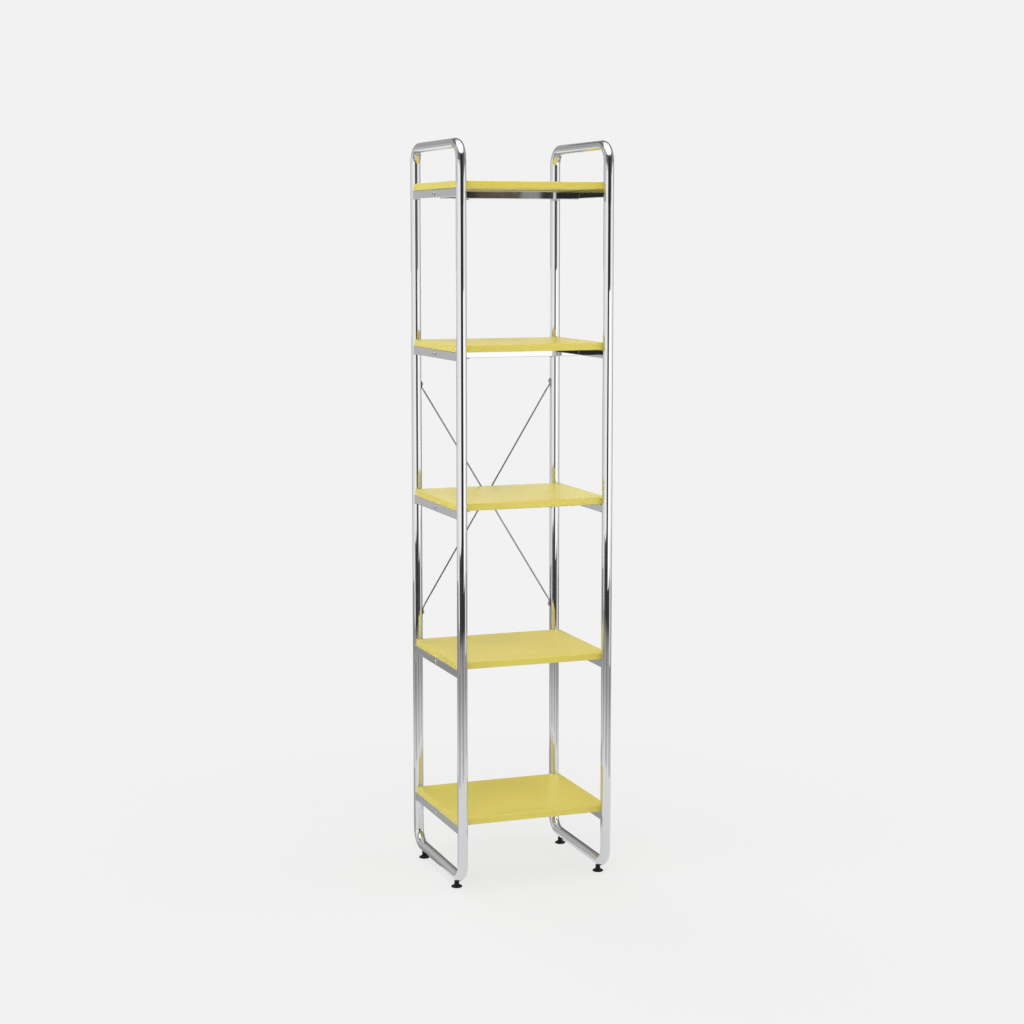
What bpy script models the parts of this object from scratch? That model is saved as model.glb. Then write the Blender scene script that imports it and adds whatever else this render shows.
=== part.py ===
"""Tall open etagere: two closed loops of chromed tube carry five lacquered shelves.

Metres, +Z up, front towards -Y. The origin lies on the floor under the middle of the footprint.
"""

import math

import bmesh
import bpy
from mathutils import Matrix, Vector

# Side frames, each one bent from a single length of round tube
OVERALL_HEIGHT = 1.815
FRAME_SPACING = 0.3746
FRAME_DEPTH = 0.352
TUBE_DIAMETER = 0.025
TUBE_WALL = 0.0015
BEND_RADIUS = 0.040
BAR_CLEARANCE = 0.018

# Shelves. The lowest is placed from the floor and the highest from the top of the frames. Each of
# the three between them has its share of the rise from one to the other.
BOTTOM_SHELF_TOP = 0.179
TOP_SHELF_DROP = 0.1002
LOWER_SHELF_SHARE = 0.2511
MIDDLE_SHELF_SHARE = 0.5023
UPPER_SHELF_SHARE = 0.7483
SHELF_SIDE_OVERHANG = 0.0005
SHELF_TUBE_GAP = 0.0005
SHELF_THICKNESS = 0.0168
SHELF_CORNER_RADIUS = 0.003
SHELF_EDGE_RADIUS = 0.0012

# Rectangular tube of the side brackets and of the cross rails
BRACKET_WIDTH = 0.018
BRACKET_HEIGHT = 0.020
RAIL_WIDTH = 0.018
RAIL_HEIGHT = 0.022
PROFILE_WALL = 0.0015
PROFILE_EDGE_RADIUS = 0.0010
RAIL_END_PLATE = 0.004

# Button head bolts that hold the rails between the brackets
BOLT_DIAMETER = 0.006
BOLT_HEAD_DIAMETER = 0.0105
BOLT_HEAD_HEIGHT = 0.0033
BOLT_HEAD_RIM = 0.0007
BOLT_SOCKET_WIDTH = 0.004
BOLT_SOCKET_DEPTH = 0.002
BOLT_TAIL = 0.003

# Pan head screws, through the rails into the shelves and through the brace ends into the tubes
SHELF_SCREW_INSET = 0.068
SHELF_SCREW_DIAMETER = 0.004
SHELF_SCREW_BITE = 0.010
SHELF_SCREW_POINT = 0.0025
BRACE_SCREW_DIAMETER = 0.004
BRACE_SCREW_TAIL = 0.004
BRACE_SCREW_POINT = 0.0005
SCREW_HEAD_DIAMETER = 0.0075
SCREW_HEAD_HEIGHT = 0.0024
SCREW_HEAD_RIM = 0.0008
CROSS_RECESS_LENGTH = 0.0042
CROSS_RECESS_WIDTH = 0.001
CROSS_RECESS_DEPTH = 0.0014

# Diagonal brace rods behind the middle shelf, with flattened ends. Their screws lie below the
# upper shelf's top face and above the lower shelf's.
BRACE_ROD_DIAMETER = 0.004
BRACE_DROP = 0.113
BRACE_RISE = 0.067
BRACE_TAB_WIDTH = 0.009
BRACE_TAB_THICKNESS = 0.0018
BRACE_TAB_REACH = 0.007
BRACE_BEND_RADIUS = 0.006
BRACE_TAPER_LENGTH = 0.014

# Levelling feet, a moulded pad on a threaded stud in a bush under the bottom bar
FOOT_INSET = 0.0469
FOOT_DIAMETER = 0.027
FOOT_RIM_HEIGHT = 0.003
FOOT_RIM_RADIUS = 0.0007
FOOT_CONE_DIAMETER = 0.019
FOOT_CONE_BOTTOM = 0.0042
FOOT_CONE_TOP = 0.0078
FOOT_NECK_DIAMETER = 0.012
STUD_DIAMETER = 0.008
STUD_BOTTOM = 0.005
STUD_LENGTH = 0.033
STUD_CHAMFER = 0.001
BUSH_DIAMETER = 0.011
BUSH_LENGTH = 0.010

# Gap left between pieces that touch, merge distance, and how far a cutter runs past what it cuts
FIT_GAP = 0.0003
MERGE_DISTANCE = 0.000001
OVERRUN = 0.002

# Counts that set how finely round shapes are drawn
TUBE_SIDES = 20
BORE_SIDES = 10
BEND_STEPS = 6
ROD_SIDES = 10
BOLT_SIDES = 12
SHANK_SIDES = 10
BOLT_HEAD_STEPS = 3
SCREW_HEAD_STEPS = 2
FOOT_SIDES = 20
SHELF_EDGE_STEPS = 2
PROFILE_EDGE_STEPS = 1
TAPER_STEPS = 3
TIP_STEPS = 2

# A flattened rod end is drawn as a superellipse with this power, where a round one has a power of 1
FLAT_SECTION_SHARE = 0.3
# An edge or a face normal counts as lying along an axis from this share of its length
ALIGNED_SHARE = 0.99
# Edges that turn by more than this stay sharp
SMOOTH_ANGLE = math.radians(35)

TUBE_RADIUS = TUBE_DIAMETER / 2
FRAME_LOW = BAR_CLEARANCE + TUBE_RADIUS
FRAME_HIGH = OVERALL_HEIGHT - TUBE_RADIUS
SHELF_RISE = OVERALL_HEIGHT - TOP_SHELF_DROP - BOTTOM_SHELF_TOP
SHELF_SHARES = (
    ("bottom", 0),
    ("lower", LOWER_SHELF_SHARE),
    ("middle", MIDDLE_SHELF_SHARE),
    ("upper", UPPER_SHELF_SHARE),
    ("top", 1),
)
SHELF_WIDTH = FRAME_SPACING + BRACKET_WIDTH + 2 * SHELF_SIDE_OVERHANG
SHELF_DEPTH = FRAME_DEPTH - TUBE_DIAMETER - 2 * SHELF_TUBE_GAP
RAIL_LENGTH = FRAME_SPACING - BRACKET_WIDTH - 2 * FIT_GAP
SHELF_SCREW_REACH = RAIL_LENGTH / 2 - SHELF_SCREW_INSET
BRACE_TOP = BOTTOM_SHELF_TOP + UPPER_SHELF_SHARE * SHELF_RISE - BRACE_DROP
BRACE_BOTTOM = BOTTOM_SHELF_TOP + LOWER_SHELF_SHARE * SHELF_RISE + BRACE_RISE
SIDES = (("left", -1), ("right", 1))
ENDS = (("front", -1), ("rear", 1))


def clear_scene():
    for item in list(bpy.data.objects):
        bpy.data.objects.remove(item)


def surface(name, colour, roughness, metallic):
    material = bpy.data.materials.new(name)
    material.use_nodes = True
    shader = material.node_tree.nodes["Principled BSDF"]
    shader.inputs["Base Color"].default_value = (*colour, 1.0)
    shader.inputs["Roughness"].default_value = roughness
    shader.inputs["Metallic"].default_value = metallic
    return material


def chrome(name):
    return surface(name, (0.60, 0.61, 0.62), 0.06, 1.0)


def yellow_lacquer(name):
    return surface(name, (0.76, 0.66, 0.12), 0.28, 0.0)


def zinc_plate(name):
    return surface(name, (0.42, 0.43, 0.44), 0.35, 1.0)


def black_plastic(name):
    return surface(name, (0.012, 0.012, 0.013), 0.45, 0.0)


def finished_mesh(name, solid):
    """Turns a bmesh into a mesh that is smooth but for its sharp edges."""
    bmesh.ops.recalc_face_normals(solid, faces=solid.faces)
    mesh = bpy.data.meshes.new(name)
    solid.to_mesh(mesh)
    solid.free()
    mesh.shade_smooth()
    mesh.set_sharp_from_angle(angle=SMOOTH_ANGLE)
    return mesh


def place(name, mesh, finish, location=(0, 0, 0), rotation=(0, 0, 0), parent=None):
    """One piece of the object. Its mesh may be shared with others like it."""
    piece = bpy.data.objects.new(name, mesh)
    piece.location = location
    piece.rotation_euler = rotation
    piece.parent = parent
    if not mesh.materials:
        mesh.materials.append(None)
    piece.material_slots[0].link = "OBJECT"
    piece.material_slots[0].material = finish(name)
    bpy.context.collection.objects.link(piece)
    return piece


def carved(name, body, cutters):
    """The mesh that is left once every cutter has been taken out of the body."""
    base = bpy.data.objects.new(name, finished_mesh(name, body))
    bpy.context.collection.objects.link(base)
    tools = []
    for cutter in cutters:
        tool = bpy.data.objects.new("cutter", finished_mesh("cutter", cutter))
        tool.hide_render = True
        tool.display_type = "WIRE"
        bpy.context.collection.objects.link(tool)
        tools.append(tool)
        cut = base.modifiers.new("Cut", "BOOLEAN")
        cut.operation = "DIFFERENCE"
        cut.solver = "EXACT"
        cut.object = tool
    graph = bpy.context.evaluated_depsgraph_get()
    mesh = bpy.data.meshes.new_from_object(base.evaluated_get(graph))
    mesh.name = name
    for helper in (base, *tools):
        bpy.data.objects.remove(helper)
    mesh.set_sharp_from_angle(angle=SMOOTH_ANGLE)
    return mesh


def box(size, centre=(0, 0, 0)):
    solid = bmesh.new()
    matrix = Matrix.Translation(Vector(centre)) @ Matrix.Diagonal((*size, 1))
    bmesh.ops.create_cube(solid, size=1, matrix=matrix)
    return solid


def cylinder(radius, length, sides, centre=(0, 0, 0), axis="Z"):
    """A round bar centred on a point, upright or lying along X."""
    turns = {"X": Matrix.Rotation(math.pi / 2, 4, "Y"), "Z": Matrix.Identity(4)}
    solid = bmesh.new()
    bmesh.ops.create_cone(
        solid,
        cap_ends=True,
        segments=sides,
        radius1=radius,
        radius2=radius,
        depth=length,
        matrix=Matrix.Translation(Vector(centre)) @ turns[axis],
    )
    return solid


def turned(profile, sides):
    """A solid turned about Z from a profile of radius and height that starts and ends on the axis."""
    solid = bmesh.new()
    points = [solid.verts.new((radius, 0, height)) for radius, height in profile]
    edges = [solid.edges.new(pair) for pair in zip(points, points[1:])]
    bmesh.ops.spin(
        solid,
        geom=points + edges,
        cent=(0, 0, 0),
        axis=(0, 0, 1),
        angle=2 * math.pi,
        steps=sides,
        use_merge=True,
    )
    bmesh.ops.remove_doubles(solid, verts=solid.verts, dist=MERGE_DISTANCE)
    return solid


def skinned(rings, closed):
    """A skin over rings of points. An open run gets a face on each end."""
    solid = bmesh.new()
    loops = [[solid.verts.new(point) for point in ring] for ring in rings]
    pairs = list(zip(loops, loops[1:]))
    if closed:
        pairs.append((loops[-1], loops[0]))
    else:
        solid.faces.new(loops[0])
        solid.faces.new(loops[-1])
    for first, second in pairs:
        for corner, start in enumerate(first):
            after = (corner + 1) % len(first)
            solid.faces.new((start, first[after], second[after], second[corner]))
    return solid


def soften(solid, edges, radius, steps):
    bmesh.ops.bevel(
        solid,
        geom=edges,
        offset=radius,
        offset_type="OFFSET",
        affect="EDGES",
        segments=steps,
        profile=0.5,
        material=-1,
    )


def edges_along(solid, axis):
    """The edges that run along one axis, numbered 0 to 2."""
    chosen = []
    for edge in solid.edges:
        run = edge.verts[1].co - edge.verts[0].co
        if abs(run[axis]) > ALIGNED_SHARE * run.length:
            chosen.append(edge)
    return chosen


def loop_of_bar(radius, sides):
    """A closed loop of round bar in the YZ plane, straight but for its four bends."""
    half = FRAME_DEPTH / 2 - BEND_RADIUS
    high = FRAME_HIGH - BEND_RADIUS
    low = FRAME_LOW + BEND_RADIUS
    corners = ((half, high), (-half, high), (-half, low), (half, low))
    rings = []
    for quarter, (depth, height) in enumerate(corners):
        for step in range(BEND_STEPS + 1):
            angle = (quarter + step / BEND_STEPS) * math.pi / 2
            outward = Vector((0, math.cos(angle), math.sin(angle)))
            centre = Vector((0, depth, height)) + BEND_RADIUS * outward
            ring = []
            for side in range(sides):
                turn = side * 2 * math.pi / sides
                sideways = Vector((math.sin(turn), 0, 0))
                ring.append(centre + radius * (math.cos(turn) * outward + sideways))
            rings.append(ring)
    return skinned(rings, closed=True)


def frame_mesh(name, inward):
    """A tube loop, drilled for two foot bushes below and two brace screws on its inner side."""
    cutters = [loop_of_bar(TUBE_RADIUS - TUBE_WALL, BORE_SIDES)]
    hole_length = TUBE_RADIUS + OVERRUN
    for _, end in ENDS:
        centre = (0, end * (FRAME_DEPTH / 2 - FOOT_INSET), FRAME_LOW - hole_length / 2)
        cutters.append(cylinder(BUSH_DIAMETER / 2 + FIT_GAP, hole_length, BOLT_SIDES, centre))
    for height in (BRACE_TOP, BRACE_BOTTOM):
        centre = (inward * hole_length / 2, FRAME_DEPTH / 2, height)
        cutters.append(
            cylinder(BRACE_SCREW_DIAMETER / 2 + FIT_GAP, hole_length, SHANK_SIDES, centre, "X")
        )
    return carved(name, loop_of_bar(TUBE_RADIUS, TUBE_SIDES), cutters)


def bracket_mesh(name):
    """Rectangular tube between the front and rear tubes, its ends cut to the tubes' curve."""
    outer = box((BRACKET_WIDTH, FRAME_DEPTH - TUBE_RADIUS, BRACKET_HEIGHT))
    soften(outer, edges_along(outer, 1), PROFILE_EDGE_RADIUS, PROFILE_EDGE_STEPS)
    inside = 2 * PROFILE_WALL
    cutters = [box((BRACKET_WIDTH - inside, FRAME_DEPTH, BRACKET_HEIGHT - inside))]
    for _, end in ENDS:
        centre = (0, end * FRAME_DEPTH / 2, 0)
        tall = BRACKET_HEIGHT + 2 * OVERRUN
        cutters.append(cylinder(TUBE_RADIUS + FIT_GAP, tall, TUBE_SIDES, centre))
    across = BRACKET_WIDTH + 2 * OVERRUN
    cutters.append(cylinder(BOLT_DIAMETER / 2 + FIT_GAP, across, SHANK_SIDES, axis="X"))
    return carved(name, outer, cutters)


def rail_mesh(name):
    """Rectangular tube between two brackets, with a plate in each end for its bolt."""
    outer = box((RAIL_LENGTH, RAIL_WIDTH, RAIL_HEIGHT))
    soften(outer, edges_along(outer, 0), PROFILE_EDGE_RADIUS, PROFILE_EDGE_STEPS)
    inside = 2 * PROFILE_WALL
    hollow = (RAIL_LENGTH - 2 * RAIL_END_PLATE, RAIL_WIDTH - inside, RAIL_HEIGHT - inside)
    cutters = [box(hollow)]
    bolt_height = (RAIL_HEIGHT - BRACKET_HEIGHT) / 2
    for _, side in SIDES:
        centre = (side * RAIL_LENGTH / 2, 0, bolt_height)
        reach = 2 * (RAIL_END_PLATE + OVERRUN)
        cutters.append(
            cylinder(BOLT_DIAMETER / 2 + FIT_GAP, reach, SHANK_SIDES, centre, "X")
        )
        centre = (side * SHELF_SCREW_REACH, 0, 0)
        tall = RAIL_HEIGHT + 2 * OVERRUN
        cutters.append(
            cylinder(SHELF_SCREW_DIAMETER / 2 + FIT_GAP, tall, SHANK_SIDES, centre)
        )
    return carved(name, outer, cutters)


def shelf_mesh(name):
    """A solid panel with small round corners and softened edges, drilled below for two screws."""
    panel = box((SHELF_WIDTH, SHELF_DEPTH, SHELF_THICKNESS))
    soften(panel, edges_along(panel, 2), SHELF_CORNER_RADIUS, SHELF_EDGE_STEPS)
    rims = [face for face in panel.faces if abs(face.normal.z) > ALIGNED_SHARE]
    rim_edges = list({edge for face in rims for edge in face.edges})
    soften(panel, rim_edges, SHELF_EDGE_RADIUS, SHELF_EDGE_STEPS)
    drill = SHELF_SCREW_BITE + FIT_GAP
    cutters = []
    for _, side in SIDES:
        centre = (side * SHELF_SCREW_REACH, 0, (drill - OVERRUN - SHELF_THICKNESS) / 2)
        radius = SHELF_SCREW_DIAMETER / 2 + FIT_GAP
        cutters.append(cylinder(radius, drill + OVERRUN, SHANK_SIDES, centre))
    return carved(name, panel, cutters)


def domed_head(radius, height, rim, steps):
    """Profile of a low domed head above its seat, from its rim to the axis."""
    points = [(radius, 0)]
    for step in range(steps):
        angle = step / steps * math.pi / 2
        points.append((radius * math.cos(angle), rim + (height - rim) * math.sin(angle)))
    points.append((0, height))
    return points


def bolt_mesh(name):
    """Button head bolt. Its head sits above the XY plane and its shank runs down."""
    radius = BOLT_DIAMETER / 2
    reach = BRACKET_WIDTH + RAIL_END_PLATE + 2 * FIT_GAP + BOLT_TAIL
    profile = [(0, -reach), (radius, -reach), (radius, 0)]
    head = BOLT_HEAD_DIAMETER / 2
    profile += domed_head(head, BOLT_HEAD_HEIGHT, BOLT_HEAD_RIM, BOLT_HEAD_STEPS)
    corner = BOLT_SOCKET_WIDTH / math.sqrt(3)
    centre = (0, 0, BOLT_HEAD_HEIGHT + (OVERRUN - BOLT_SOCKET_DEPTH) / 2)
    socket = cylinder(corner, BOLT_SOCKET_DEPTH + OVERRUN, 6, centre)
    return carved(name, turned(profile, BOLT_SIDES), [socket])


def cross_recess(top):
    """Cutter for a cross recess, as a plus sign drawn once and pulled down from above the head."""
    long = CROSS_RECESS_LENGTH / 2
    short = CROSS_RECESS_WIDTH / 2
    high = top + OVERRUN
    low = top - CROSS_RECESS_DEPTH
    quarter = ((long, -short), (long, short), (short, short))
    rings = []
    for height in (low, high):
        ring = []
        for turn in range(4):
            spin = Matrix.Rotation(turn * math.pi / 2, 2)
            ring += [(*(spin @ Vector(point)), height) for point in quarter]
        rings.append(ring)
    return skinned(rings, closed=False)


def pan_head_screw(diameter, reach, point):
    """Its head sits above the XY plane and its shank runs down to a point."""
    radius = diameter / 2
    profile = [(0, -reach), (radius, point - reach), (radius, 0)]
    head = SCREW_HEAD_DIAMETER / 2
    profile += domed_head(head, SCREW_HEAD_HEIGHT, SCREW_HEAD_RIM, SCREW_HEAD_STEPS)
    return turned(profile, SHANK_SIDES)


def shelf_screw_mesh(name):
    """Wood screw from under a rail into its shelf."""
    reach = FIT_GAP + RAIL_HEIGHT + SHELF_SCREW_BITE
    return finished_mesh(name, pan_head_screw(SHELF_SCREW_DIAMETER, reach, SHELF_SCREW_POINT))


def brace_screw_mesh(name):
    """Short screw with a cross recess, through a brace tab and the wall of a rear tube."""
    reach = 2 * FIT_GAP + BRACE_TAB_THICKNESS + TUBE_WALL + BRACE_SCREW_TAIL
    screw = pan_head_screw(BRACE_SCREW_DIAMETER, reach, BRACE_SCREW_POINT)
    return carved(name, screw, [cross_recess(SCREW_HEAD_HEIGHT)])


def brace_end():
    """Half of a brace rod's line, from the tip of its upper left tab to the middle of the rod.

    Each station is its place in the rod's own plane, the direction it runs in, and how flat it is.
    """
    middle = Vector((0, (BRACE_TOP + BRACE_BOTTOM) / 2))
    side = -(FRAME_SPACING / 2 - TUBE_RADIUS - FIT_GAP - BRACE_TAB_THICKNESS / 2)
    bend_start = Vector((side, BRACE_TOP - BRACE_TAB_REACH))
    bend_centre = bend_start + Vector((BRACE_BEND_RADIUS, 0))
    aim = middle - bend_centre
    tangent = math.atan2(aim.y, aim.x) - math.acos(BRACE_BEND_RADIUS / aim.length)
    bend = tangent + math.pi
    down = Vector((0, -1))
    stations = []
    tip = Vector((side, BRACE_TOP + BRACE_TAB_REACH))
    half_width = BRACE_TAB_WIDTH / 2
    for step in range(TIP_STEPS, 0, -1):
        angle = step / (TIP_STEPS + 1) * math.pi / 2
        rise = half_width * (math.sin(angle) - 1)
        stations.append((tip + Vector((0, rise)), down, 1, math.cos(angle)))
    stations.append((tip - Vector((0, half_width)), down, 1, 1))
    stations.append((bend_start, down, 1, 1))
    for step in range(1, TAPER_STEPS + 1):
        angle = bend * step / TAPER_STEPS
        spoke = Vector((-math.cos(angle), -math.sin(angle)))
        run = Vector((math.sin(angle), -math.cos(angle)))
        stations.append((bend_centre + BRACE_BEND_RADIUS * spoke, run, 1, 1))
    start, run = stations[-1][:2]
    for step in range(1, TAPER_STEPS + 1):
        share = step / TAPER_STEPS
        flat = (1 + math.cos(share * math.pi)) / 2
        stations.append((start + share * BRACE_TAPER_LENGTH * run, run, flat, 1))
    return stations


def brace_ring(place_in_plane, run, flat, width_share, aside):
    """One cross-section of a brace rod, as flat as its tab or round, beside the tubes' plane."""
    round_half = BRACE_ROD_DIAMETER / 2
    wide = (round_half + flat * (BRACE_TAB_WIDTH / 2 - round_half)) * width_share
    thick = round_half + flat * (BRACE_TAB_THICKNESS / 2 - round_half)
    power = 1 + flat * (FLAT_SECTION_SHARE - 1)
    across = Vector((-run.y, run.x))
    ring = []
    for side in range(ROD_SIDES):
        angle = (side + 0.5) * 2 * math.pi / ROD_SIDES
        cosine = math.copysign(abs(math.cos(angle)) ** power, math.cos(angle))
        sine = math.copysign(abs(math.sin(angle)) ** power, math.sin(angle))
        spot = place_in_plane + thick * sine * across
        ring.append(Vector((spot.x, wide * cosine + (1 - flat) * aside, spot.y)))
    return ring


def brace_mesh(name, falls_right, aside):
    """A diagonal rod whose flattened ends lie upright against the rear tubes."""
    both_heights = BRACE_TOP + BRACE_BOTTOM
    rings = []
    half = brace_end()
    for spot, run, flat, width_share in half:
        rings.append(brace_ring(spot, run, flat, width_share, aside))
    for spot, run, flat, width_share in reversed(half):
        opposite = Vector((-spot.x, both_heights - spot.y))
        rings.append(brace_ring(opposite, run, flat, width_share, aside))
    if not falls_right:
        rings = [[Vector((-point.x, point.y, point.z)) for point in ring] for ring in rings]
    cutters = []
    for height in (BRACE_TOP, BRACE_BOTTOM):
        side = -1 if (height == BRACE_TOP) == falls_right else 1
        centre = (side * (FRAME_SPACING / 2 - TUBE_RADIUS), 0, height)
        radius = BRACE_SCREW_DIAMETER / 2 + FIT_GAP
        reach = 2 * (BRACE_TAB_THICKNESS + OVERRUN)
        cutters.append(cylinder(radius, reach, SHANK_SIDES, centre, "X"))
    return carved(name, skinned(rings, closed=False), cutters)


def foot_pad_mesh(name):
    """Moulded pad with a thin round flange, a short cone and a neck that takes the stud."""
    outer = FOOT_DIAMETER / 2
    neck = FOOT_NECK_DIAMETER / 2
    top = BAR_CLEARANCE - FIT_GAP
    bore = STUD_DIAMETER / 2 + FIT_GAP
    floor = STUD_BOTTOM - FIT_GAP
    profile = (
        (0, 0),
        (outer - FOOT_RIM_RADIUS, 0),
        (outer, FOOT_RIM_RADIUS),
        (outer, FOOT_RIM_HEIGHT - FOOT_RIM_RADIUS),
        (outer - FOOT_RIM_RADIUS, FOOT_RIM_HEIGHT),
        (FOOT_CONE_DIAMETER / 2, FOOT_CONE_BOTTOM),
        (neck, FOOT_CONE_TOP),
        (neck, top),
        (bore, top),
        (bore, floor),
        (0, floor),
    )
    return finished_mesh(name, turned(profile, FOOT_SIDES))


def stud_mesh(name):
    radius = STUD_DIAMETER / 2
    top = STUD_BOTTOM + STUD_LENGTH
    profile = (
        (0, STUD_BOTTOM),
        (radius, STUD_BOTTOM),
        (radius, top - STUD_CHAMFER),
        (radius - STUD_CHAMFER, top),
        (0, top),
    )
    return finished_mesh(name, turned(profile, BOLT_SIDES))


def bush_mesh(name):
    """Plain bush with the stud's bore, flush with the lowest line of the bar."""
    middle = (0, 0, BAR_CLEARANCE + BUSH_LENGTH / 2)
    body = cylinder(BUSH_DIAMETER / 2, BUSH_LENGTH, BOLT_SIDES, middle)
    bore = STUD_DIAMETER / 2 + FIT_GAP
    tall = BUSH_LENGTH + 2 * OVERRUN
    return carved(name, body, [cylinder(bore, tall, BOLT_SIDES, middle)])


def build_frames():
    for side_name, side in SIDES:
        name = f"frame_{side_name}"
        place(name, frame_mesh(name, -side), chrome, (side * FRAME_SPACING / 2, 0, 0))


def build_shelves():
    """Each shelf rests on two brackets and a rail, and two screws come up through the rail."""
    shelf = shelf_mesh("shelf")
    bracket = bracket_mesh("bracket")
    rail = rail_mesh("rail")
    bolt = bolt_mesh("bracket_bolt")
    screw = shelf_screw_mesh("shelf_screw")
    for level, share in SHELF_SHARES:
        top = BOTTOM_SHELF_TOP + share * SHELF_RISE
        under = top - SHELF_THICKNESS - FIT_GAP
        bracket_middle = under - BRACKET_HEIGHT / 2
        rail_bottom = under - RAIL_HEIGHT
        place(f"shelf_{level}", shelf, yellow_lacquer, (0, 0, top - SHELF_THICKNESS / 2))
        place(f"rail_{level}", rail, chrome, (0, 0, under - RAIL_HEIGHT / 2))
        for side_name, side in SIDES:
            plane = side * FRAME_SPACING / 2
            place(f"bracket_{level}_{side_name}", bracket, chrome, (plane, 0, bracket_middle))
            seat = plane + side * (BRACKET_WIDTH / 2 + FIT_GAP)
            outward = (0, side * math.pi / 2, 0)
            place(
                f"bracket_bolt_{level}_{side_name}",
                bolt,
                chrome,
                (seat, 0, bracket_middle),
                outward,
            )
            place(
                f"shelf_screw_{level}_{side_name}",
                screw,
                zinc_plate,
                (side * SHELF_SCREW_REACH, 0, rail_bottom - FIT_GAP),
                (math.pi, 0, 0),
            )


def build_brace():
    """Two rods cross behind the middle shelf, one just in front of the other."""
    beside = (BRACE_ROD_DIAMETER + FIT_GAP) / 2
    rods = (("brace_rod_front", True, -beside), ("brace_rod_rear", False, beside))
    for name, falls_right, aside in rods:
        mesh = brace_mesh(name, falls_right, aside)
        place(name, mesh, chrome, (0, FRAME_DEPTH / 2, 0))
    screw = brace_screw_mesh("brace_screw")
    seat = FRAME_SPACING / 2 - TUBE_RADIUS - FIT_GAP - BRACE_TAB_THICKNESS - FIT_GAP
    for side_name, side in SIDES:
        for level, height in (("top", BRACE_TOP), ("bottom", BRACE_BOTTOM)):
            place(
                f"brace_screw_{level}_{side_name}",
                screw,
                zinc_plate,
                (side * seat, FRAME_DEPTH / 2, height),
                (0, -side * math.pi / 2, 0),
            )


def build_feet():
    """Each pad and its stud hang from an empty on the foot's axis, and slide along it as one."""
    pad = foot_pad_mesh("foot_pad")
    stud = stud_mesh("foot_stud")
    bush = bush_mesh("foot_bush")
    for side_name, side in SIDES:
        for end_name, end in ENDS:
            corner = f"{end_name}_{side_name}"
            spot = (side * FRAME_SPACING / 2, end * (FRAME_DEPTH / 2 - FOOT_INSET), 0)
            axis = bpy.data.objects.new(f"foot_axis_{corner}", None)
            axis.location = spot
            bpy.context.collection.objects.link(axis)
            place(f"foot_pad_{corner}", pad, black_plastic, parent=axis)
            place(f"foot_stud_{corner}", stud, zinc_plate, parent=axis)
            place(f"foot_bush_{corner}", bush, zinc_plate, spot)


clear_scene()
build_frames()
build_shelves()
build_brace()
build_feet()
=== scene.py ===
"""Looks of a tall open etagere: chromed tube loops, yellow lacquered shelves and a crossed brace.

The sections follow the unit as it is put together, then come its surroundings and the camera.
Metres, +Z up, front towards -Y.
"""

import math

import bmesh
import bpy
from mathutils import Matrix, Vector


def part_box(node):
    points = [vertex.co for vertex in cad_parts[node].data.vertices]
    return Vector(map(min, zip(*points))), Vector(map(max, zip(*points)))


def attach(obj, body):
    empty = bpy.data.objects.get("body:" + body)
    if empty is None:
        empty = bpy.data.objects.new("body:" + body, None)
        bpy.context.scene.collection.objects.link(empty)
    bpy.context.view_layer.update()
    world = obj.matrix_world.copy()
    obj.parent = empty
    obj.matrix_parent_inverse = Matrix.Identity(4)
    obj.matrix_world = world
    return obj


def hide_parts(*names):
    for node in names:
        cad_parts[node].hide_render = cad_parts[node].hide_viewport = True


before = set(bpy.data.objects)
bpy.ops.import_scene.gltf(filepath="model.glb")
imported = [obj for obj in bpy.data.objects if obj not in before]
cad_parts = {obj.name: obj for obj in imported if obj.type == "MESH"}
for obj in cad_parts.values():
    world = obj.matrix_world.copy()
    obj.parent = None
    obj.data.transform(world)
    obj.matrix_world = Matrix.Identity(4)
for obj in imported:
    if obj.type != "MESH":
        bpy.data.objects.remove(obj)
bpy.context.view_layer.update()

# Side frames. Each is one length of steel tube, bent cold at four corners and butt welded into a
# closed loop. The weld is ground flush, and the loop is polished and plated with bright chrome.
TUBE_RADIUS = 0.0125
BEND_RADIUS = 0.040
TUBE_FACETS = 64
BEND_FACETS = 24
MERGE_DISTANCE = 0.000005
CREASE_ANGLE = math.radians(35)
FLAT_FACE_WEIGHT = 100
CHROME_COLOUR = (0.72, 0.725, 0.735)
CHROME_TINT = (0.69, 0.70, 0.72)
DUST_COLOUR = (0.42, 0.40, 0.37)
SIDES = {"left": -1, "right": 1}


def supplied(tree, socket, value):
    """Feeds a socket from another output, or sets it to a plain value."""
    if isinstance(value, bpy.types.NodeSocket):
        tree.links.new(value, socket)
    else:
        socket.default_value = value


def node(tree, kind, inputs=None, **settings):
    """A shader node with its settings, and its inputs set to values or fed by other outputs."""
    made = tree.nodes.new(kind)
    for name, value in settings.items():
        setattr(made, name, value)
    for socket, value in (inputs or {}).items():
        supplied(tree, made.inputs[socket], value)
    return made


def maths(tree, operation, *values):
    """The result of one sum on numbers or on other outputs."""
    inputs = dict(enumerate(values))
    return node(tree, "ShaderNodeMath", inputs, operation=operation).outputs[0]


def layered(tree, value, *layers):
    """A value to which each layer, a mask and its weight, is added in turn."""
    for mask, weight in layers:
        value = maths(tree, "MULTIPLY_ADD", mask, weight, value)
    return value


def spread(tree, value, low, high, bottom=0.0, top=1.0):
    """A value stretched so that low to high becomes bottom to top, and held there."""
    inputs = {"Value": value, "From Min": low, "From Max": high, "To Min": bottom, "To Max": top}
    return node(tree, "ShaderNodeMapRange", inputs).outputs["Result"]


def speckle(tree, where, scale, detail=2.0, distortion=0.0):
    """Noise of one value at this many cells to the metre."""
    inputs = {"Vector": where, "Scale": scale, "Detail": detail, "Distortion": distortion}
    return node(tree, "ShaderNodeTexNoise", inputs).outputs["Fac"]


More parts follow.
